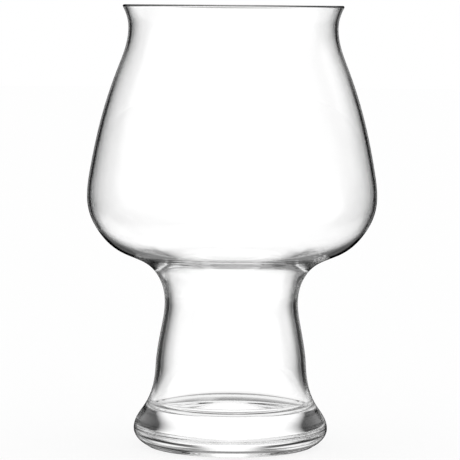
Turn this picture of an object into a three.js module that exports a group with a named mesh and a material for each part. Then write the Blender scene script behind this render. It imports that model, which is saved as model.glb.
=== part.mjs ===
// A clear cider glass with a flared lip, a round belly, a hollow stem and a thick solid foot.
// It is modelled as the five runs of glass that are fused along level rings: lip, bowl, shoulder, stem and foot.
// Millimetres, +Z up. The origin is on the axis, at the ring that the glass stands on.

import * as THREE from "three";

// Heights of the five runs, each from the ring below it
const FOOT_HEIGHT = 26.5;
const STEM_HEIGHT = 21;
const SHOULDER_HEIGHT = 35.4;
const BOWL_HEIGHT = 55.6;
const LIP_HEIGHT = 7.5;

// Outer radii where the outline turns
const RIM_RADIUS = 36.5;
const WAIST_RADIUS = 34.6;
const BELLY_RADIUS = 48;
const STEM_RADIUS = 22.1;
const FOOT_RADIUS = 32.2;

// Leans are in degrees from straight down, positive where the face widens on its way down

// The lip turns out above the waist
const LIP_LEAN = -28;

// The bowl widens fastest below the waist, then eases into the belly
const BEND_SPREAD = 3.7;
const BEND_DROP = 14;
const BEND_LEAN = 21;
const CONE_INSET = 1;
const CONE_RISE = 9.1;
const CONE_LEAN = 10;

// The shoulder rounds under the belly to a shallow shelf, and turns down through the throat into the stem
const ROUND_INSET = 3.1;
const ROUND_DROP = 10.5;
const ROUND_LEAN = -32;
const SHELF_INSET = 12.5;
const SHELF_DROP = 19;
const SHELF_LEAN = -67;
const THROAT_SPREAD = 3.4;
const THROAT_RISE = 10.5;
const THROAT_LEAN = -38;

// The stem widens from its narrowest ring to the ankle, where the foot starts
const TAPER_SPREAD = 1.4;
const TAPER_DROP = 10;
const TAPER_LEAN = 10;
const ANKLE_SPREAD = 2.9;
const ANKLE_LEAN = 3;

// The foot flares out to its edge and rounds under to the ring that it stands on
const FLARE_INSET = 3.2;
const FLARE_RISE = 7;
const FLARE_LEAN = 34;
const EDGE_HEIGHT = 5.6;
const HEEL_INSET = 3.6;
const HEEL_HEIGHT = 0.7;
const HEEL_LEAN = -62;
const REST_INSET = 5;
const REST_WIDTH = 1.6;
const PUSH_UP = 0.8;

// Glass thickness, square to the outer face
const LIP_WALL = 1;
const BOWL_WALL = 1;
const BELLY_WALL = 0.95;
const ROUND_WALL = 1;
const SHELF_WALL = 1.3;
const THROAT_WALL = 2.3;
const STEM_WALL = 1.4;
const TAPER_WALL = 1.4;
const ANKLE_WALL = 1.45;

// The well at the bottom of the stem's bore, with its domed floor over solid glass
const WELL_WALL = 2.6;
const WELL_LEAN = 30;
const CORNER = 3.8;
const BASE_THICKNESS = 11.6;
const FLOOR_CROWN = 3.5;
const FLOOR_LEAN = -91;

// Fineness of the facets: the most that an outline turns or runs in one step, and the sides round the axis
const STEP_TURN = 12;
const STEP_LENGTH = 9;
const SIDES = 64;
const BEAD_STEPS = 6;

// How far a curve keeps the direction of each of its ends, as a share of its chord
const REACH = 0.355;

const LEVEL_LEAN = -90;

const GLASS = new THREE.MeshStandardMaterial({
  color: 0xf3f7f6,
  roughness: 0.03,
  metalness: 0,
  transparent: true,
  opacity: 0.35,
});

const ankleHeight = FOOT_HEIGHT;
const stemHeight = ankleHeight + STEM_HEIGHT;
const bellyHeight = stemHeight + SHOULDER_HEIGHT;
const waistHeight = bellyHeight + BOWL_HEIGHT;
const rimHeight = waistHeight + LIP_HEIGHT;

const lip = lipEnd();
const waist = ring(WAIST_RADIUS, waistHeight, 0, BOWL_WALL);
const bend = ring(WAIST_RADIUS + BEND_SPREAD, waistHeight - BEND_DROP, BEND_LEAN, BOWL_WALL);
const cone = ring(BELLY_RADIUS - CONE_INSET, bellyHeight + CONE_RISE, CONE_LEAN, BOWL_WALL);
const belly = ring(BELLY_RADIUS, bellyHeight, 0, BELLY_WALL);
const round = ring(BELLY_RADIUS - ROUND_INSET, bellyHeight - ROUND_DROP, ROUND_LEAN, ROUND_WALL);
const shelf = ring(BELLY_RADIUS - SHELF_INSET, bellyHeight - SHELF_DROP, SHELF_LEAN, SHELF_WALL);
const throat = ring(STEM_RADIUS + THROAT_SPREAD, stemHeight + THROAT_RISE, THROAT_LEAN, THROAT_WALL);
const narrows = ring(STEM_RADIUS, stemHeight, 0, STEM_WALL);
const taper = ring(STEM_RADIUS + TAPER_SPREAD, stemHeight - TAPER_DROP, TAPER_LEAN, TAPER_WALL);
const ankle = { ...ring(STEM_RADIUS + ANKLE_SPREAD, ankleHeight, ANKLE_LEAN, ANKLE_WALL), seam: true };

// A ring of the outline: the outer face's radius, height and lean there, and the glass's thickness
function ring(radius, height, lean, wall = 0) {
  return { radius, height, lean, wall };
}

// The outer edge of the lip's bead, whose top is the glass's full height
function lipEnd() {
  const turn = THREE.MathUtils.degToRad(LIP_LEAN);
  const bead = LIP_WALL / 2;
  const radius = RIM_RADIUS - bead + bead * Math.cos(turn);
  const height = rimHeight - bead + bead * Math.sin(turn);
  return ring(radius, height, LIP_LEAN, LIP_WALL);
}

// Where the inner face passes a ring: square through the glass, or level at a seam
function inside({ radius, height, lean, wall, seam }) {
  const turn = seam ? 0 : THREE.MathUtils.degToRad(lean);
  return ring(radius - wall * Math.cos(turn), height - wall * Math.sin(turn), lean);
}

function point({ radius, height }) {
  return new THREE.Vector2(radius, height);
}

// The point that a curve's end aims at, a given distance down the face, or up it where that is negative
function aim(end, distance) {
  const turn = THREE.MathUtils.degToRad(end.lean);
  return new THREE.Vector2(
    end.radius + distance * Math.sin(turn),
    end.height - distance * Math.cos(turn),
  );
}

// Points down the smooth curve between two rings, more where it turns more or runs further
function span(top, bottom) {
  const chord = point(bottom).sub(point(top));
  const chordLean = THREE.MathUtils.radToDeg(Math.atan2(chord.x, -chord.y));
  const turn = Math.abs(chordLean - top.lean) + Math.abs(bottom.lean - chordLean);
  const reach = chord.length() * REACH;
  const curve = new THREE.CubicBezierCurve(point(top), aim(top, reach), aim(bottom, -reach), point(bottom));
  return curve.getPoints(Math.ceil(Math.max(turn / STEP_TURN, chord.length() / STEP_LENGTH)));
}

// Points down a face that passes all the given rings
function face(rings) {
  const spans = rings.slice(1).map((bottom, index) => span(rings[index], bottom).slice(1));
  return [point(rings[0]), ...spans.flat()];
}

// The closed section of a run of wall between two level seams
function wallSection(rings) {
  return [...face(rings), ...face(rings.map(inside)).reverse(), point(rings[0])];
}

// The lip's section ends in a round bead, like a fire-polished edge
function lipSection() {
  const bead = LIP_WALL / 2;
  const outerEdge = THREE.MathUtils.degToRad(LIP_LEAN);
  const arc = new THREE.ArcCurve(RIM_RADIUS - bead, rimHeight - bead, bead, outerEdge + Math.PI, outerEdge, true);
  const rings = [lip, waist];
  return [...face(rings), ...face(rings.map(inside)).reverse().slice(0, -1), ...arc.getPoints(BEAD_STEPS)];
}

// The foot's section runs from the middle of the domed floor, up the well, over the flare and under to the axis
function footSection() {
  const flare = ring(FOOT_RADIUS - FLARE_INSET, EDGE_HEIGHT + FLARE_RISE, FLARE_LEAN);
  const edge = ring(FOOT_RADIUS, EDGE_HEIGHT, 0);
  const heel = ring(FOOT_RADIUS - HEEL_INSET, HEEL_HEIGHT, HEEL_LEAN);
  const rest = ring(FOOT_RADIUS - REST_INSET, 0, LEVEL_LEAN);
  const well = ring(flare.radius - WELL_WALL, BASE_THICKNESS + CORNER, WELL_LEAN);
  const trough = ring(well.radius - CORNER, BASE_THICKNESS, FLOOR_LEAN);
  const floorMiddle = ring(0, BASE_THICKNESS + FLOOR_CROWN, LEVEL_LEAN);
  const restInner = ring(rest.radius - REST_WIDTH, 0, LEVEL_LEAN);
  const pushUpMiddle = ring(0, PUSH_UP, LEVEL_LEAN);
  return [
    ...face([inside(ankle), well, trough, floorMiddle]).reverse(),
    ...face([ankle, flare, edge, heel, rest]),
    ...face([restInner, pushUpMiddle]),
  ];
}

// A section turned round the axis, as a named mesh. The faces point out when the section runs up its outer side
function turned(name, section) {
  const geometry = new THREE.LatheGeometry(section.reverse(), SIDES);
  geometry.rotateX(Math.PI / 2);
  const mesh = new THREE.Mesh(geometry, GLASS);
  mesh.name = name;
  return mesh;
}

const glass = new THREE.Group();
glass.add(
  turned("lip", lipSection()),
  turned("bowl", wallSection([waist, bend, cone, belly])),
  turned("shoulder", wallSection([belly, round, shelf, throat, narrows])),
  turned("stem", wallSection([narrows, taper, ankle])),
  turned("foot", footSection()),
);

export default glass;
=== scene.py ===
"""The looks of a clear cider glass: flared lip, round belly, hollow stem and thick solid foot.

The glass is five runs that are fused along level rings: lip, bowl, shoulder, stem and foot. Each run is
turned from its own fine section by one geometry tree, so that its faces are as smooth as fire-polished
glass. Where two runs meet, their end faces are the same glass, and light passes them unbent.
"""

import logging
import math
from dataclasses import dataclass, field, replace
from enum import Enum
from functools import cached_property, reduce
from typing import Any, Sequence

import bpy
import numpy as np
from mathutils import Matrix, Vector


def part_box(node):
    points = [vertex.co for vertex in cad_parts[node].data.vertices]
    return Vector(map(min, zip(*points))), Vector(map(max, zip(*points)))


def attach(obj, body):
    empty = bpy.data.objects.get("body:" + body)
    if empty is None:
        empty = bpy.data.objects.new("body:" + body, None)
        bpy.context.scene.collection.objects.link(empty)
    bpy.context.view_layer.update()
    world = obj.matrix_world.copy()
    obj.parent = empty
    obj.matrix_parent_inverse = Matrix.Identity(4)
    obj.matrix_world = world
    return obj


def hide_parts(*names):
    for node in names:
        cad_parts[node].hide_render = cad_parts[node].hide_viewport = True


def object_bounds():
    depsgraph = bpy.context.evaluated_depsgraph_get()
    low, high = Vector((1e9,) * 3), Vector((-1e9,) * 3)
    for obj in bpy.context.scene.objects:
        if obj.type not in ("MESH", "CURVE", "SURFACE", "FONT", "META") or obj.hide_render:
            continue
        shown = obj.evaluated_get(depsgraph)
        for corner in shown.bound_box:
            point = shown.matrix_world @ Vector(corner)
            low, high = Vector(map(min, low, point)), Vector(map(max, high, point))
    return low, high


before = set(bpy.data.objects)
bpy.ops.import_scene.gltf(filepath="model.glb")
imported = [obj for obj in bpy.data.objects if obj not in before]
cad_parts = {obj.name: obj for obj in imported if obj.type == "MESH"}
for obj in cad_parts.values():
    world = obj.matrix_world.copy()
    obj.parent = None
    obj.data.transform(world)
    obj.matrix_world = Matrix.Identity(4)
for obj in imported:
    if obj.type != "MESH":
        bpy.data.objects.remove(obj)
CAD_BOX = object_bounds()

log = logging.getLogger("cider_glass")

MILLIMETRE = 0.001

# How far a curve keeps the direction of each of its ends, as a share of its chord
REACH = 0.355

# The lean of a face that runs level towards the axis
LEVEL_LEAN = -90.0

# Within this distance of the axis, in metres, a corner has no bearing of its own
ON_AXIS = 1e-6

# What the lathe marks: the fused steps of a section, and each face's step and whether that is fused
JOINT_MARK = "joint"
STEP_MARK = "step"
JOINED_MARK = "joined"

# Pairs of where a value is and the level there, in order
Stops = tuple[tuple[float, float], ...]


def in_radians(stops: Stops) -> Stops:
    """Stops whose places are in degrees, with their places in radians.

    Args:
        stops: pairs of degrees and level.

    Returns:
        Pairs of radians and level.
    """
    return tuple((math.radians(place), level) for place, level in stops)


# Node trees written as expressions


class Ray(Enum):
    """What a ray last did, as the Light Path node names it."""

    CAMERA = "Is Camera Ray"
    MIRRORED = "Is Glossy Ray"
    REFRACTED = "Is Transmission Ray"


class Value:
    """A number in a node tree. Arithmetic on it adds Math nodes."""

    def __init__(self, nodes: "Nodes", socket: bpy.types.NodeSocket) -> None:
        """Wraps a socket.

        Args:
            nodes: the tree that the socket belongs to.
            socket: the output that carries the number.
        """
        self.nodes = nodes
        self.socket = socket

    def _math(self, operation: str, *operands: "Value | float") -> "Value":
        """Adds one Math node.

        Args:
            operation: the node's operation.
            operands: its operands in order, numbers or values.

        Returns:
            The node's result.
        """
        sockets = dict(enumerate(operands))
        return self.nodes.value("ShaderNodeMath", settings={"operation": operation}, sockets=sockets)

    def __add__(self, other: "Value | float") -> "Value":
        """self + other."""
        return self._math("ADD", self, other)

    def __radd__(self, other: "Value | float") -> "Value":
        """other + self."""
        return self._math("ADD", other, self)

    def __sub__(self, other: "Value | float") -> "Value":
        """self - other."""
        return self._math("SUBTRACT", self, other)

    def __rsub__(self, other: "Value | float") -> "Value":
        """other - self."""
        return self._math("SUBTRACT", other, self)

    def __mul__(self, other: "Value | float") -> "Value":
        """self * other."""
        return self._math("MULTIPLY", self, other)

    def __rmul__(self, other: "Value | float") -> "Value":
        """other * self."""
        return self._math("MULTIPLY", other, self)

    def __abs__(self) -> "Value":
        """The distance from zero."""
        return self._math("ABSOLUTE", self)

    def cos(self) -> "Value":
        """The cosine of an angle in radians."""
        return self._math("COSINE", self)

    def sin(self) -> "Value":
        """The sine of an angle in radians."""
        return self._math("SINE", self)

    def asin(self) -> "Value":
        """The angle whose sine this is, in radians."""
        return self._math("ARCSINE", self)

    def acos(self) -> "Value":
        """The angle whose cosine this is, in radians."""
        return self._math("ARCCOSINE", self)

    def turned_from(self, ahead: "Value") -> "Value":
        """The angle of a direction in plan.

        Args:
            ahead: the part of the direction that points ahead. This value is the part that points across.

        Returns:
            The angle from straight ahead, from minus pi to pi.
        """
        return self._math("ARCTAN2", self, ahead)

    def floor(self) -> "Value":
        """The whole number below."""
        return self._math("FLOOR", self)

    def nearest(self) -> "Value":
        """The nearest whole number."""
        return self._math("ROUND", self)

    def greatest(self, other: "Value | float") -> "Value":
        """The greater of this and another."""
        return self._math("MAXIMUM", self, other)

    def fade(self, full: float, gone: float) -> "Value":
        """A smooth change from 1 to 0.

        Args:
            full: where it is still 1.
            gone: where it reaches 0.

        Returns:
            The faded value.
        """
        return self.nodes.value(
            "ShaderNodeMapRange",
            "Result",
            settings={"interpolation_type": "SMOOTHSTEP"},
            sockets={"Value": self, "From Min": full, "From Max": gone, "To Min": 1.0, "To Max": 0.0},
        )

    def graded(self, stops: Stops) -> "Value":
        """A level read from a ramp.

        Args:
            stops: where this value is and the level there.

        Returns:
            The level.
        """
        low, high = stops[0][0], stops[-1][0]
        share = self.nodes.value(
            "ShaderNodeMapRange", "Result", sockets={"Value": self, "From Min": low, "From Max": high}
        )
        places = {"stops": [((place - low) / (high - low), level) for place, level in stops]}
        return self.nodes.value("ShaderNodeValToRGB", "Color", settings=places, sockets={"Fac": share})


class Nodes:
    """A node tree, and the one way in which nodes are added to it."""

    def __init__(self, tree: bpy.types.NodeTree) -> None:
        """Takes over a tree.

        Args:
            tree: the tree. Nodes that it holds already are removed.
        """
        self.tree = tree
        tree.nodes.clear()

    def add(
        self,
        kind: str,
        settings: dict[str, Any] | None = None,
        sockets: dict[Any, Any] | None = None,
    ) -> bpy.types.Node:
        """Adds a node, sets it up, and feeds its sockets.

        Args:
            kind: the node's type.
            settings: properties that are set first, such as an operation. "stops" fills a ramp, and
                "captures" names what a capturing node keeps, and its type.
            sockets: an input's name or number, and the value, Value or output socket that feeds it.

        Returns:
            The node.
        """
        node = self.tree.nodes.new(kind)
        for name, setting in (settings or {}).items():
            if name == "stops":
                self._fill_ramp(node, setting)
            elif name == "captures":
                for captured, data_type in setting.items():
                    node.capture_items.new(data_type, captured)
            else:
                setattr(node, name, setting)
        for key, source in (sockets or {}).items():
            self._feed(node.inputs[key], source)
        return node

    def value(self, kind: str, output: Any = 0, **kwargs: Any) -> Value:
        """Adds a node and takes one of its outputs as a number.

        Args:
            kind: the node's type.
            output: the output's name or number.
            kwargs: settings and sockets, as add takes them.

        Returns:
            The number.
        """
        return Value(self, self.add(kind, **kwargs).outputs[output])

    def mixed(
        self, first: bpy.types.NodeSocket, second: bpy.types.NodeSocket, share: Value | float
    ) -> bpy.types.NodeSocket:
        """Mixes two shaders.

        Args:
            first: the shader that shows where the share is 0.
            second: the shader that shows where the share is 1.
            share: the second's share.

        Returns:
            The mixed shader.
        """
        return self.add("ShaderNodeMixShader", {}, {0: share, 1: first, 2: second}).outputs[0]

    def _feed(self, socket: bpy.types.NodeSocket, source: Any) -> None:
        """Links an input, or sets it.

        Args:
            socket: the input.
            source: a Value, an output socket, or a plain value.
        """
        if isinstance(source, Value):
            source = source.socket
        if isinstance(source, bpy.types.NodeSocket):
            self.tree.links.new(source, socket)
        else:
            socket.default_value = source

    @staticmethod
    def _fill_ramp(node: bpy.types.Node, stops: Sequence[tuple[float, float]]) -> None:
        """Gives a ramp its grey stops.

        Args:
            node: the ramp.
            stops: pairs of place from 0 to 1 and grey level, in order.
        """
        elements = node.color_ramp.elements
        while len(elements) < len(stops):
            elements.new(1.0)
        for element, (place, level) in zip(elements, stops):
            element.position = place
            element.color = (level, level, level, 1.0)


def shader_tree(owner: bpy.types.Material | bpy.types.World) -> Nodes:
    """Gives a material or world a node tree of its own.

    Args:
        owner: the material or world.

    Returns:
        Its empty tree.
    """
    owner.use_nodes = True
    return Nodes(owner.node_tree)


class Direction:
    """A direction from the glass's axis: that of a point of the world, or of a spot on the table."""

    def __init__(self, nodes: Nodes, coordinates: str) -> None:
        """Reads the direction.

        Args:
            nodes: the tree of the world or of the table.
            coordinates: which coordinates give it.
        """
        spot = nodes.add("ShaderNodeTexCoord").outputs[coordinates]
        across, ahead, up = nodes.add("ShaderNodeSeparateXYZ", {}, {0: spot}).outputs
        self.across, self.ahead, self.up = Value(nodes, across), Value(nodes, ahead), Value(nodes, up)

    @cached_property
    def height(self) -> Value:
        """The angle above the horizon."""
        return self.up.asin()

    def angle_round(self, bearing: float) -> Value:
        """How far the direction is turned from a bearing.

        Args:
            bearing: the bearing in degrees, from +Y towards +X.

        Returns:
            The angle between them in plan, from 0 to pi.
        """
        turn = math.radians(bearing)
        across = self.across * math.cos(turn) - self.ahead * math.sin(turn)
        ahead = self.across * math.sin(turn) + self.ahead * math.cos(turn)
        return abs(across.turned_from(ahead))

    def angle_from_ahead(self, height: float) -> Value:
        """How far the direction is from one straight ahead, along +Y.

        Args:
            height: how far that one is above the horizon, in degrees.

        Returns:
            The angle between them, from 0 to pi.
        """
        rise = math.radians(height)
        return (self.ahead * math.cos(rise) + self.up * math.sin(rise)).acos()


# Finishes


@dataclass(frozen=True)
class FirePolishedGlass:
    """Clear glass, as smooth as the fire leaves it, whose colour darkens where it is seen nearly edge on: a
    painted shade that draws its dark edges.

    Attributes:
        painted_shade_from: how far aslant it is seen where the painted shade starts: 0 is square on, and 1
            edge on.
        edge_on_painted_shade: the colour of the painted shade where it is seen edge on, as a grey.
    """

    refraction: float = 1.5
    roughness: float = 0.0
    painted_shade_from: float = 0.74
    edge_on_painted_shade: float = 0.0

    def material(self) -> bpy.types.Material:
        """The glass as a node material.

        Returns:
            The material.
        """
        made = bpy.data.materials.new("fire_polished_glass")
        nodes = shader_tree(made)
        # With a blend of a half, this is 1 less the cosine of the slant
        aslant = nodes.value("ShaderNodeLayerWeight", "Facing", sockets={"Blend": 0.5})
        glass = nodes.add(
            "ShaderNodeBsdfPrincipled",
            {},
            {
                # Painted shade: the colour darkens towards edge on, to draw the glass's dark edges
                "Base Color": aslant.graded(((0.0, 1.0), (self.painted_shade_from, 1.0), (1.0, self.edge_on_painted_shade))),
                "Roughness": self.roughness,
                "IOR": self.refraction,
                "Transmission Weight": 1.0,
            },
        )
        nodes.add("ShaderNodeOutputMaterial", {}, {"Surface": glass.outputs[0]})
        return made


@dataclass(frozen=True)
class FusedJoint:
    """The end face of a run, where it is fused to the next one. Nothing of it shows."""

    def material(self) -> bpy.types.Material:
        """The unseen face as a node material.

        Returns:
            The material.
        """
        made = bpy.data.materials.new("fused_joint")
        nodes = shader_tree(made)
        unseen = nodes.add("ShaderNodeBsdfPrincipled", {}, {"Alpha": 0.0})
        nodes.add("ShaderNodeOutputMaterial", {}, {"Surface": unseen.outputs[0]})
        return made


@dataclass(frozen=True)
class PaleMattTop:
    """The pale matt face of the table.

    A look past the glass sees it nearly white, with the glass's shadow. A look through the glass sees painted
    light:
    a lit patch under the foot and a lit ring behind it round a painted shadow, and elsewhere the studio beyond
    the table.

    Attributes:
        whitened: how much of what the camera sees of it is plain white.
        painted_light_disc: the levels of the painted light under the foot, by metres from the axis.
        ring: the levels of the painted light in the ring behind the foot, by metres from the axis.
        painted_ring_bearings: which ways the ring reaches, in degrees from +Y towards +X.
        painted_ring_within: how far round from these it is whole, and how far round it ends, in degrees.
    """

    colour: tuple[float, float, float, float] = (0.95, 0.95, 0.95, 1.0)
    white: tuple[float, float, float, float] = (1.0, 1.0, 1.0, 1.0)
    whitened: float = 0.85
    # Levels of painted light seen through the glass, under the foot and in a ring behind it, with a painted
    # shadow between
    painted_light_disc: Stops = ((0.0, 0.12), (0.016, 0.12), (0.02, 0.95), (0.026, 0.95), (0.03, 0.0))
    ring: Stops = ((0.048, 0.0), (0.056, 1.0), (0.085, 1.0), (0.1, 0.1), (0.2, 0.1))
    painted_ring_bearings: tuple[float, ...] = (0.0, -90.0)
    painted_ring_within: tuple[float, float] = (15.0, 28.0)

    def material(self) -> bpy.types.Material:
        """The table's face as a node material.

        Returns:
            The material.
        """
        made = bpy.data.materials.new("pale_table")
        nodes = shader_tree(made)
        path = nodes.add("ShaderNodeLightPath").outputs
        straight, mirrored, refracted = (Value(nodes, path[ray.value]) for ray in Ray)
        matt = nodes.add("ShaderNodeBsdfDiffuse", {}, {"Color": self.colour}).outputs[0]
        white = nodes.add("ShaderNodeEmission", {}, {"Color": self.white, "Strength": 1.0}).outputs[0]
        clear = nodes.add("ShaderNodeBsdfTransparent").outputs[0]
        shown = nodes.mixed(matt, nodes.mixed(matt, white, self.whitened), straight)
        beyond = nodes.mixed(shown, clear, refracted.greatest(mirrored))
        # Looks through the glass see painted white light on the table, and elsewhere the studio through it
        surface = nodes.mixed(beyond, white, refracted * self._painted_light(nodes))
        nodes.add("ShaderNodeOutputMaterial", {}, {"Surface": surface})
        return made

    def _painted_light(self, nodes: Nodes) -> Value:
        """How bright the painted light is that a look through the glass sees on a spot of the table.

        Args:
            nodes: the material's tree.

        Returns:
            The level.
        """
        spot = {0: nodes.add("ShaderNodeTexCoord").outputs["Object"]}
        out = nodes.value("ShaderNodeVectorMath", "Value", settings={"operation": "LENGTH"}, sockets=spot)
        way = Direction(nodes, "Object")
        whole, ends = map(math.radians, self.painted_ring_within)
        reaches = [way.angle_round(bearing).fade(whole, ends) for bearing in self.painted_ring_bearings]
        return out.graded(self.painted_light_disc).greatest(out.graded(self.ring) * reduce(Value.greatest, reaches))


# Sections


@dataclass(frozen=True)
class Ring:
    """A ring of the outline, in millimetres.

    Attributes:
        height: how far it is above the ring that the glass stands on.
        lean: the outer face's lean there, in degrees from straight down, positive where it widens.
        wall: the glass's thickness, square to the outer face.
        seam: whether the runs part there, so that the inner face is passed level.
    """

    radius: float
    height: float
    lean: float
    wall: float = 0.0
    seam: bool = False

    def place(self) -> np.ndarray:
        """The ring's point of the section."""
        return np.array([self.radius, self.height])

    def downwards(self) -> np.ndarray:
        """The direction down the face."""
        turn = math.radians(self.lean)
        return np.array([math.sin(turn), -math.cos(turn)])

    def inside(self) -> "Ring":
        """The ring of the inner face.

        Returns:
            The ring that lies square through the glass, or level at a seam.
        """
        turn = 0.0 if self.seam else math.radians(self.lean)
        radius = self.radius - self.wall * math.cos(turn)
        height = self.height - self.wall * math.sin(turn)
        return replace(self, radius=radius, height=height)


@dataclass(frozen=True)
class Bend:
    """Where a face bends, from another ring, in millimetres.

    Attributes:
        out: how much wider it is there.
        up: how much higher it is there.
        lean: its lean there, as a ring's.
        wall: the glass's thickness there.
    """

    out: float
    up: float
    lean: float
    wall: float = 0.0

    def ring(self, origin: Ring) -> Ring:
        """The ring where the face bends.

        Args:
            origin: the ring that it is measured from.

        Returns:
            The ring.
        """
        return Ring(origin.radius + self.out, origin.height + self.up, self.lean, self.wall)


@dataclass(frozen=True)
class Stroke:
    """A stretch of a section.

    Attributes:
        outwards: the way out of the glass at each of its points.
        joint: whether it is a fused joint.
    """

    points: np.ndarray
    outwards: np.ndarray
    joint: bool = False

    def back(self) -> "Stroke":
        """The same stretch, run the other way."""
        return replace(self, points=self.points[::-1], outwards=self.outwards[::-1])


@dataclass(frozen=True)
class Smoothness:
    """The most that a section turns, in degrees, and runs, in millimetres, in one step."""

    turn: float = 1.2
    run: float = 0.9

    def steps(self, turned: float, length: float) -> int:
        """How many steps a stretch takes.

        Args:
            turned: how far it turns, in degrees.
            length: how far it runs, in millimetres.

        Returns:
            The number of steps.
        """
        return max(1, math.ceil(max(turned / self.turn, length / self.run)))


def curve(top: Ring, bottom: Ring, fine: Smoothness) -> tuple[np.ndarray, np.ndarray]:
    """The smooth curve down a face between two rings.

    Args:
        top: the ring that it leaves.
        bottom: the ring that it reaches.
        fine: how fine its steps are.

    Returns:
        Its points, and the way out of an outer face there.
    """
    start, end = top.place(), bottom.place()
    chord = end - start
    length = float(np.hypot(*chord))
    lean = math.degrees(math.atan2(chord[0], -chord[1]))
    turned = abs(lean - top.lean) + abs(bottom.lean - lean)
    share = np.linspace(0.0, 1.0, fine.steps(turned, length) + 1)[:, None]
    rest = 1.0 - share
    first = start + REACH * length * top.downwards()
    second = end - REACH * length * bottom.downwards()
    points = rest**3 * start + 3 * rest**2 * share * first + 3 * rest * share**2 * second + share**3 * end
    along = rest**2 * (first - start) + 2 * rest * share * (second - first) + share**2 * (end - second)
    along /= np.linalg.norm(along, axis=1)[:, None]
    return points, np.column_stack((-along[:, 1], along[:, 0]))


def face(rings: Sequence[Ring], fine: Smoothness, inner: bool = False) -> Stroke:
    """A face that passes all the given rings on its way down.

    Args:
        rings: the rings, from the top.
        fine: how fine its steps are.
        inner: whether it is the inner face, whose way out of the glass is the other way.

    Returns:
        The stretch.
    """
    runs = [curve(top, bottom, fine) for top, bottom in zip(rings, rings[1:])]
    points = np.vstack([runs[0][0][:1]] + [run[0][1:] for run in runs])
    outwards = np.vstack([runs[0][1][:1]] + [run[1][1:] for run in runs])
    return Stroke(points, -outwards if inner else outwards)


def fused(start: Stroke, end: Stroke) -> Stroke:
    """The level joint from the end of one stretch to the start of the next.

    Args:
        start: the stretch before it.
        end: the stretch after it.

    Returns:
        The joint.
    """
    points = np.array([start.points[-1], end.points[0]])
    up = 1.0 if points[1, 0] > points[0, 0] else -1.0
    return Stroke(points, np.array([[0.0, up], [0.0, up]]), joint=True)


@dataclass
class Section:
    """The section of a run, as stretches from head to tail."""

    strokes: list[Stroke]

    def outline(self) -> np.ndarray:
        """All the points in order, in metres."""
        points = [self.strokes[0].points[:1]] + [stroke.points[1:] for stroke in self.strokes]
        return np.vstack(points) * MILLIMETRE

    def joints(self) -> list[bool]:
        """For each step from one point to the next, whether it is a fused joint."""
        return [stroke.joint for stroke in self.strokes for _ in stroke.points[1:]]

    def ways_out(self) -> np.ndarray:
        """For each step, the way out of the glass at its two ends."""
        steps = [np.stack((stroke.outwards[:-1], stroke.outwards[1:]), axis=1) for stroke in self.strokes]
        return np.concatenate(steps)


# Turning a section round the axis


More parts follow.
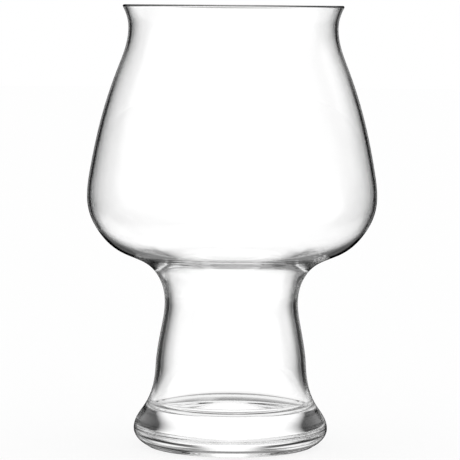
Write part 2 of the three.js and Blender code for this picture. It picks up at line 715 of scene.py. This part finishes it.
@dataclass
class Lathe:
    """The geometry tree that turns a section round the axis.

    Attributes:
        glass: the finish of the faces.
        joint: the finish of the fused end faces.
        sides: how many sides stand for the round.
        weld: how near two points are to become one, in metres, which closes the seam and the poles.
    """

    glass: bpy.types.Material
    joint: bpy.types.Material
    sides: int = 256
    weld: float = 2e-6

    def __post_init__(self) -> None:
        """Builds the tree once for all the runs."""
        self.tree = bpy.data.node_groups.new("turn_round_axis", "GeometryNodeTree")
        self.inputs = self._declare()
        nodes = Nodes(self.tree)
        given = nodes.add("NodeGroupInput").outputs
        self._dress(nodes, given, self._roll(nodes, given))

    def _declare(self) -> dict[str, str]:
        """Names what goes in and out of the tree.

        Returns:
            The identifier of each input that a run sets.
        """
        interface = self.tree.interface
        interface.new_socket("Section", in_out="INPUT", socket_type="NodeSocketGeometry")
        interface.new_socket("Run", in_out="OUTPUT", socket_type="NodeSocketGeometry")
        kinds = {"Sides": "Int", "Weld": "Float", "Glass": "Material", "Joint": "Material"}
        return {
            name: interface.new_socket(name, in_out="INPUT", socket_type="NodeSocket" + kind).identifier
            for name, kind in kinds.items()
        }

    def _roll(self, nodes: Nodes, given: "bpy.types.bpy_prop_collection") -> bpy.types.NodeSocket:
        """Rolls up a sheet with a column of faces for each side and a row for each step of the section.

        Args:
            nodes: the tree.
            given: the tree's inputs.

        Returns:
            The rolled sheet, whose faces are marked with their step and whether it is a joint.
        """
        section = given["Section"]
        rows = nodes.value("GeometryNodeAttributeDomainSize", "Point Count", sockets={"Geometry": section})
        columns = Value(nodes, given["Sides"]) + 1
        sheet = nodes.add(
            "GeometryNodeMeshGrid",
            {},
            {"Size X": 1.0, "Size Y": 1.0, "Vertices X": columns, "Vertices Y": rows},
        )
        position = nodes.add("GeometryNodeInputPosition").outputs[0]
        spot = nodes.add("ShaderNodeSeparateXYZ", {}, {0: position}).outputs
        # The flat sheet runs from -0.5 to 0.5 both ways
        angle = (Value(nodes, spot["X"]) + 0.5) * math.tau
        along = (Value(nodes, spot["Y"]) + 0.5) * (rows - 1)
        kept = nodes.add(
            "GeometryNodeCaptureAttribute",
            {"domain": "FACE", "captures": {"Step": "FLOAT"}},
            {"Geometry": sheet.outputs["Mesh"], "Step": along.floor()},
        ).outputs
        point = nodes.add(
            "GeometryNodeSampleIndex",
            {"data_type": "FLOAT_VECTOR"},
            {"Geometry": section, "Value": position, "Index": along.nearest()},
        )
        flat = nodes.add("ShaderNodeSeparateXYZ", {}, {0: point.outputs[0]}).outputs
        radius, height = Value(nodes, flat["X"]), flat["Z"]
        rolled = nodes.add(
            "ShaderNodeCombineXYZ", {}, {"X": radius * angle.cos(), "Y": radius * angle.sin(), "Z": height}
        )
        run = nodes.add(
            "GeometryNodeSetPosition", {}, {"Geometry": kept["Geometry"], "Position": rolled.outputs[0]}
        ).outputs[0]
        joined = nodes.add(
            "GeometryNodeSampleIndex",
            {"data_type": "FLOAT"},
            {"Geometry": section, "Value": self._marked(nodes, JOINT_MARK), "Index": kept["Step"]},
        ).outputs[0]
        for mark, marking in ((STEP_MARK, kept["Step"]), (JOINED_MARK, joined)):
            run = nodes.add(
                "GeometryNodeStoreNamedAttribute",
                {"data_type": "FLOAT", "domain": "FACE"},
                {"Geometry": run, "Name": mark, "Value": marking},
            ).outputs[0]
        return run

    def _dress(
        self, nodes: Nodes, given: "bpy.types.bpy_prop_collection", rolled: bpy.types.NodeSocket
    ) -> None:
        """Closes the rolled sheet, turns its faces outwards and gives them their finishes.

        Args:
            nodes: the tree.
            given: the tree's inputs.
            rolled: the rolled sheet.
        """
        welded = nodes.add(
            "GeometryNodeMergeByDistance", {}, {"Geometry": rolled, "Distance": given["Weld"]}
        )
        outward = nodes.add("GeometryNodeFlipFaces", {}, {0: welded.outputs[0]})
        real = nodes.add("GeometryNodeRealizeInstances", {}, {0: outward.outputs[0]})
        glazed = nodes.add(
            "GeometryNodeSetMaterial", {}, {"Geometry": real.outputs[0], "Material": given["Glass"]}
        )
        ends = self._marked(nodes, JOINED_MARK)
        closed = nodes.add(
            "GeometryNodeSetMaterial",
            {},
            {"Geometry": glazed.outputs[0], "Selection": ends, "Material": given["Joint"]},
        )
        nodes.add("NodeGroupOutput", {}, {0: closed.outputs[0]})

    @staticmethod
    def _marked(nodes: Nodes, mark: str) -> bpy.types.NodeSocket:
        """Reads a mark.

        Args:
            nodes: the tree.
            mark: its name.

        Returns:
            What is marked.
        """
        marks = nodes.add("GeometryNodeInputNamedAttribute", {"data_type": "FLOAT"}, {"Name": mark})
        return marks.outputs["Attribute"]

    def turn(self, name: str, section: Section) -> bpy.types.Object:
        """Turns a section into a plain mesh piece.

        Args:
            name: the piece's name.
            section: the section to turn.

        Returns:
            The piece, at the origin.
        """
        outline = section.outline()
        bone = bpy.data.meshes.new(name + "_section")
        steps = [(start, start + 1) for start in range(len(outline) - 1)]
        bone.from_pydata([(radius, 0.0, height) for radius, height in outline], steps, [])
        marks = bone.attributes.new(JOINT_MARK, "FLOAT", "POINT")
        marks.data.foreach_set("value", [float(joint) for joint in section.joints()] + [0.0])
        piece = bpy.data.objects.new(name, bone)
        bpy.context.scene.collection.objects.link(piece)
        turning = piece.modifiers.new("turning", "NODES")
        turning.node_group = self.tree
        given = {"Sides": self.sides, "Weld": self.weld, "Glass": self.glass, "Joint": self.joint}
        for key, setting in given.items():
            turning[self.inputs[key]] = setting
        turned = piece.evaluated_get(bpy.context.evaluated_depsgraph_get())
        mesh = bpy.data.meshes.new_from_object(turned)
        piece.modifiers.remove(turning)
        piece.data = mesh
        mesh.name = name
        # The sheet brings an empty slot of its own
        while mesh.materials[0] is None:
            mesh.materials.pop(index=0)
        bpy.data.meshes.remove(bone)
        self._smooth(mesh, section)
        return piece

    @staticmethod
    def _smooth(mesh: bpy.types.Mesh, section: Section) -> None:
        """Gives each face's corners the true way out of the turned surface.

        Args:
            mesh: the turned mesh. It keeps none of the tree's marks.
            section: the section that it was turned from, whose step each face is marked with.
        """
        corners, faces = len(mesh.loops), len(mesh.polygons)
        places = np.empty(len(mesh.vertices) * 3)
        mesh.vertices.foreach_get("co", places)
        spots = np.empty(corners, dtype=np.int64)
        mesh.loops.foreach_get("vertex_index", spots)
        corner = places.reshape(-1, 3)[spots]
        steps, sizes, middles = np.empty(faces), np.empty(faces, dtype=np.int64), np.empty(faces * 3)
        mesh.attributes[STEP_MARK].data.foreach_get("value", steps)
        mesh.polygons.foreach_get("loop_total", sizes)
        mesh.polygons.foreach_get("center", middles)
        step = np.repeat(steps.astype(np.int64), sizes)
        middle = np.repeat(middles.reshape(-1, 3), sizes, axis=0)
        flat = np.column_stack((np.hypot(corner[:, 0], corner[:, 1]), corner[:, 2]))
        outline = section.outline()
        start_off, end_off = (np.linalg.norm(flat - outline[step + end], axis=1) for end in (0, 1))
        way = section.ways_out()[step, (end_off < start_off).astype(np.int64)]
        bearer = np.where((flat[:, 0] < ON_AXIS)[:, None], middle, corner)
        angle = np.arctan2(bearer[:, 1], bearer[:, 0])
        normals = np.column_stack((way[:, 0] * np.cos(angle), way[:, 0] * np.sin(angle), way[:, 1]))
        for mark in (STEP_MARK, JOINED_MARK):
            mesh.attributes.remove(mesh.attributes[mark])
        mesh.shade_smooth()
        mesh.normals_split_custom_set(normals.tolist())
        mesh.update()


# The runs of the glass


@dataclass
class SharedRings:
    """The rings that neighbouring runs share, at the solids' own heights."""

    rim_radius: float = 36.5
    waist_radius: float = 34.6
    stem_radius: float = 22.1
    bowl_wall: float = 1.0
    belly_wall: float = 0.95
    stem_wall: float = 1.4
    ankle_wall: float = 1.45
    ankle_spread: float = 2.9
    ankle_lean: float = 3.0

    def __post_init__(self) -> None:
        """Takes the heights of the seams and the belly's radius from the frame."""
        tops = {name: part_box(name)[1].z / MILLIMETRE for name in ("lip", "bowl", "shoulder", "stem", "foot")}
        belly_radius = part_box("bowl")[1].x / MILLIMETRE
        ankle_radius = self.stem_radius + self.ankle_spread
        self.rim_height = tops["lip"]
        self.waist = Ring(self.waist_radius, tops["bowl"], 0.0, self.bowl_wall)
        self.belly = Ring(belly_radius, tops["shoulder"], 0.0, self.belly_wall)
        self.narrows = Ring(self.stem_radius, tops["stem"], 0.0, self.stem_wall)
        self.ankle = Ring(ankle_radius, tops["foot"], self.ankle_lean, self.ankle_wall, seam=True)


@dataclass
class GlassRun:
    """A run of the glass between two level rings, which stands for one solid of the frame."""

    node: str = ""
    rings: SharedRings = field(default_factory=SharedRings)
    fine: Smoothness = field(default_factory=Smoothness)

    def section(self) -> Section:
        """The run's section."""
        raise NotImplementedError

    def wall_section(self, rings: Sequence[Ring]) -> Section:
        """The section of a plain wall between two seams.

        Args:
            rings: the rings of its outer face, from the top.

        Returns:
            The closed section: down the outside, in along a seam, up the inside and out along the other.
        """
        outer = face(rings, self.fine)
        inner = face([ring.inside() for ring in rings], self.fine, inner=True).back()
        return Section([outer, fused(outer, inner), inner, fused(inner, outer)])

    def build(self, lathe: Lathe) -> None:
        """Turns the run and hands it to the frame.

        Args:
            lathe: what turns it.
        """
        piece = lathe.turn(self.node + "_glass", self.section())
        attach(piece, "root")
        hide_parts(self.node)
        log.info("%s: %d faces", piece.name, len(piece.data.polygons))


@dataclass
class Lip(GlassRun):
    """The lip, which turns out above the waist and ends in a fire-polished bead."""

    node: str = "lip"
    wall: float = 1.0
    lean: float = -28.0
    bead_steps: int = 24

    def section(self) -> Section:
        """The wall that turns out above the waist.

        Returns:
            The closed section: down the outside, in along the seam, up the inside and over the bead.
        """
        turn = math.radians(self.lean)
        bead = self.wall / 2
        middle = np.array([self.rings.rim_radius - bead, self.rings.rim_height - bead])
        radius, height = middle + bead * np.array([math.cos(turn), math.sin(turn)])
        rings = [Ring(radius, height, self.lean, self.wall), self.rings.waist]
        outer = face(rings, self.fine)
        inner = face([ring.inside() for ring in rings], self.fine, inner=True).back()
        turns = np.linspace(turn + math.pi, turn, self.bead_steps + 1)
        ways = np.column_stack((np.cos(turns), np.sin(turns)))
        return Section([outer, fused(outer, inner), inner, Stroke(middle + bead * ways, ways)])


@dataclass
class Bowl(GlassRun):
    """The bowl, from the waist to the belly."""

    node: str = "bowl"
    below_waist: Bend = Bend(out=3.7, up=-14.0, lean=21.0, wall=1.0)
    above_belly: Bend = Bend(out=-1.0, up=9.1, lean=10.0, wall=1.0)

    def section(self) -> Section:
        """The wall that widens from the waist and eases into the belly.

        Returns:
            The closed section.
        """
        waist, belly = self.rings.waist, self.rings.belly
        return self.wall_section([waist, self.below_waist.ring(waist), self.above_belly.ring(belly), belly])


@dataclass
class Shoulder(GlassRun):
    """The shoulder, which rounds under the belly and turns down through the thick throat."""

    node: str = "shoulder"
    under_belly: Bend = Bend(out=-3.1, up=-10.5, lean=-32.0, wall=1.0)
    shelf: Bend = Bend(out=-12.5, up=-19.0, lean=-67.0, wall=1.3)
    throat: Bend = Bend(out=3.4, up=10.5, lean=-38.0, wall=2.3)

    def section(self) -> Section:
        """The wall from the belly to the narrows, thin under the belly and thick in the throat.

        Returns:
            The closed section.
        """
        belly, narrows = self.rings.belly, self.rings.narrows
        rounded, shelf = self.under_belly.ring(belly), self.shelf.ring(belly)
        return self.wall_section([belly, rounded, shelf, self.throat.ring(narrows), narrows])


@dataclass
class Stem(GlassRun):
    """The hollow stem, which widens from the narrows to the ankle."""

    node: str = "stem"
    taper: Bend = Bend(out=1.4, up=-10.0, lean=10.0, wall=1.4)

    def section(self) -> Section:
        """The wall from the narrows to the ankle.

        Returns:
            The closed section.
        """
        narrows, ankle = self.rings.narrows, self.rings.ankle
        return self.wall_section([narrows, self.taper.ring(narrows), ankle])


@dataclass
class Foot(GlassRun):
    """The foot: the well with its domed floor, over thick solid glass with a shallow push-up."""

    node: str = "foot"
    flare: Bend = Bend(out=-3.2, up=7.0, lean=34.0)
    edge_height: float = 5.6
    heel_inset: float = 3.6
    heel_height: float = 0.7
    heel_lean: float = -62.0
    rest_inset: float = 5.0
    rest_width: float = 1.6
    push_up: float = 0.8
    well_wall: float = 2.6
    well_lean: float = 30.0
    corner: float = 3.8
    base_thickness: float = 11.6
    floor_crown: float = 3.5
    floor_lean: float = -91.0

    def section(self) -> Section:
        """The solid base, the well in it and the flare round it.

        Returns:
            The section: from the middle of the domed floor, up the well, over the flare, under to the axis.
        """
        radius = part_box(self.node)[1].x / MILLIMETRE
        ankle = self.rings.ankle
        edge = Ring(radius, self.edge_height, 0.0)
        flare = self.flare.ring(edge)
        heel = Ring(radius - self.heel_inset, self.heel_height, self.heel_lean)
        rest = Ring(radius - self.rest_inset, 0.0, LEVEL_LEAN)
        rest_inner = replace(rest, radius=rest.radius - self.rest_width)
        well = Ring(flare.radius - self.well_wall, self.base_thickness + self.corner, self.well_lean)
        trough = Ring(well.radius - self.corner, self.base_thickness, self.floor_lean)
        floor_middle = Ring(0.0, self.base_thickness + self.floor_crown, LEVEL_LEAN)
        inner = face([ankle.inside(), well, trough, floor_middle], self.fine, inner=True).back()
        outer = face([ankle, flare, edge, heel, rest], self.fine)
        under = face([rest_inner, Ring(0.0, self.push_up, LEVEL_LEAN)], self.fine)
        down = np.array([[0.0, -1.0], [0.0, -1.0]])
        resting = Stroke(np.array([outer.points[-1], under.points[0]]), down)
        return Section([inner, fused(inner, outer), outer, resting, under])


# The studio


@dataclass(frozen=True)
class Panel:
    """A bright part of the studio, as a look through the glass or a mirrored one meets it.

    Attributes:
        around: its levels by degrees round from its bearing, to either side.
        up: its levels by degrees above the horizon.
        bearing: where its middle is, in degrees from +Y towards +X.
        widens: how many degrees its sides move out for each degree up.
    """

    around: Stops
    up: Stops
    bearing: float = 0.0
    widens: float = 0.0

    def level(self, way: Direction) -> Value:
        """How bright the panel makes a direction.

        Args:
            way: the direction.

        Returns:
            The level.
        """
        off = way.angle_round(self.bearing) - way.height * self.widens
        return off.graded(in_radians(self.around)) * way.height.graded(in_radians(self.up))


# Behind the glass as the photograph shows it, with the room's far side
BACK_WALL = Panel(
    around=(
        (0, 1.19), (3, 1.18), (6, 1.14), (8, 1.05), (10, 0.9), (12, 0.65), (14, 0.38), (16, 0.15),
        (18, 0.05), (22, 0.0), (60, 0.0), (90, 0.4), (120, 0.9), (180, 1.0),
    ),
    up=((-90, 0.0), (-21, 0.1), (-18.5, 0.5), (-16.5, 0.95), (-14, 1.0), (90, 1.0)),
    widens=0.25,
)

# Over the back wall, and wider than it
CEILING = Panel(
    around=(
        (-90, 1.15), (10, 1.1), (14, 0.9), (18, 0.5), (22, 0.0), (60, 0.0), (90, 0.6), (130, 0.95),
        (180, 1.0),
    ),
    up=((-90, 0.0), (4, 0.0), (8, 1.0), (30, 1.0), (45, 0.8), (90, 0.7)),
    widens=0.9,
)

# What the thick throat shows of the dark floor
FLOOR = Panel(
    around=((0, 0.25), (20, 0.3), (60, 0.1), (90, 0.0), (180, 0.0)),
    up=((-90, 0.8), (-60, 0.8), (-40, 1.0), (-22, 1.0), (-17, 0.0), (90, 0.0)),
)

# Behind the glass for a look from its side
SIDE_WALL = Panel(
    around=((0, 1.15), (8, 1.1), (12, 0.8), (18, 0.1), (22, 0.0), (180, 0.0)),
    up=((-90, 0.0), (-17, 0.1), (-12, 1.0), (30, 1.0), (50, 0.5), (90, 0.3)),
    bearing=-90.0,
    widens=0.5,
)

# Behind and under the glass for a look from above
LOW_WALL = Panel(
    around=((0, 1.1), (10, 1.1), (18, 0.4), (26, 0.0), (180, 0.0)),
    up=((-90, 0.3), (-45, 0.6), (-36, 1.0), (-20, 1.0), (-12, 0.3), (-8, 0.0), (90, 0.0)),
    bearing=-45.0,
)

# Behind the glass for a look from its back
FAR_WALL = Panel(
    around=((0, 1.1), (10, 1.1), (18, 0.5), (26, 0.1), (34, 0.0), (180, 0.0)),
    up=((-90, 0.3), (-40, 0.4), (-30, 1.0), (20, 1.0), (40, 0.5), (90, 0.3)),
    bearing=135.0,
)

# What the glass mirrors
MIRRORED_ROOM = Panel(
    around=((0, 1.0), (60, 1.0), (90, 0.6), (120, 0.15), (180, 0.1)),
    up=((-90, 0.3), (-18, 0.3), (-5, 0.12), (3, 0.3), (15, 0.8), (45, 0.8), (65, 0.3), (90, 0.3)),
)


@dataclass
class Table:
    """The round table that the glass stands on, a hair below it."""

    radius: float = 4.0
    sides: int = 96
    gap: float = 1e-4
    finish: PaleMattTop = PaleMattTop()

    def lay(self) -> None:
        """Makes the table, which isn't part of the object."""
        mesh = bpy.data.meshes.new("table")
        turns = np.linspace(0.0, math.tau, self.sides, endpoint=False)
        points = [(self.radius * math.cos(turn), self.radius * math.sin(turn), 0.0) for turn in turns]
        mesh.from_pydata(points, [], [tuple(range(len(points)))])
        mesh.materials.append(self.finish.material())
        table = bpy.data.objects.new("table", mesh)
        table.location.z = -self.gap
        bpy.context.scene.collection.objects.link(table)


@dataclass
class Studio:
    """The camera and the light, whose levels for looks through the glass and mirrored ones are set apart.

    Attributes:
        distance: how far in front of the axis the camera is, in metres, at rim height.
        aside: how far beside the axis it is, in metres.
        tilt: how far down it looks, in degrees.
        roll: how far it is turned about its look, in degrees.
        lens: its focal length in millimetres.
        sees_to: how far it sees, in metres.
        plain_light: the level of the light on the table and on anything else that is matt.
        panels: what a look through the glass meets. Where they overlap, the brightest counts.
        mirrored: what a mirrored look meets.
        dark_ahead: the glass mirrors nothing from round one point ahead. This is how far above the horizon
            that point is, in degrees.
        dark_within: how far from that point it mirrors nothing, and how far from it all, in degrees.
        crossings: how many faces of glass light may cross.
        reflections: how many times light may be mirrored, or pass a clear face.
    """

    distance: float = 0.9065
    aside: float = -0.0012
    tilt: float = 4.688
    roll: float = -0.45
    lens: float = 214.7
    sees_to: float = 10.0
    plain_light: float = 1.0
    panels: tuple[Panel, ...] = (BACK_WALL, CEILING, FLOOR, SIDE_WALL, LOW_WALL, FAR_WALL)
    mirrored: Panel = MIRRORED_ROOM
    dark_ahead: float = 6.0
    dark_within: tuple[float, float] = (27.0, 35.0)
    crossings: int = 96
    reflections: int = 32

    def place_camera(self) -> None:
        """Puts the camera at rim height, as far back as the photograph's was, looking a little down."""
        camera = bpy.data.objects.new("camera", bpy.data.cameras.new("camera"))
        camera.data.lens = self.lens
        camera.data.clip_end = self.sees_to
        camera.location = (self.aside, -self.distance, CAD_BOX[1].z)
        camera.rotation_euler = (math.radians(90.0 - self.tilt), math.radians(self.roll), 0.0)
        bpy.context.scene.collection.objects.link(camera)
        bpy.context.scene.camera = camera

    def light_world(self) -> None:
        """White past the glass, plain light on the table, and the studio that the glass shows and mirrors."""
        world = bpy.data.worlds.new("studio")
        bpy.context.scene.world = world
        nodes = shader_tree(world)
        way = Direction(nodes, "Generated")
        through = reduce(Value.greatest, [panel.level(way) for panel in self.panels])
        dark, whole = map(math.radians, self.dark_within)
        mirrored = self.mirrored.level(way) * (1.0 - way.angle_from_ahead(self.dark_ahead).fade(dark, whole))
        path = nodes.add("ShaderNodeLightPath").outputs
        level: Value | float = self.plain_light
        for ray, light in ((Ray.CAMERA, 1.0), (Ray.MIRRORED, mirrored), (Ray.REFRACTED, through)):
            level = level + Value(nodes, path[ray.value]) * (light - level)
        background = nodes.add("ShaderNodeBackground", {}, {"Color": level, "Strength": 1.0})
        nodes.add("ShaderNodeOutputWorld", {}, {"Surface": background.outputs[0]})

    def set_render(self) -> None:
        """Shows colours as they are written, and lets light cross all the faces that it meets."""
        bpy.context.scene.view_settings.view_transform = "Standard"
        cycles = bpy.context.scene.cycles
        cycles.max_bounces = cycles.transmission_bounces = self.crossings
        cycles.glossy_bounces = cycles.transparent_max_bounces = self.reflections


def main() -> None:
    """Builds the studio, and the runs of the glass from the lip down."""
    logging.basicConfig(level=logging.INFO, format="%(message)s")
    studio = Studio()
    studio.place_camera()
    studio.light_world()
    studio.set_render()
    Table().lay()
    lathe = Lathe(FirePolishedGlass().material(), FusedJoint().material())
    for run in (Lip(), Bowl(), Shoulder(), Stem(), Foot()):
        run.build(lathe)


if __name__ == "__main__":
    main()
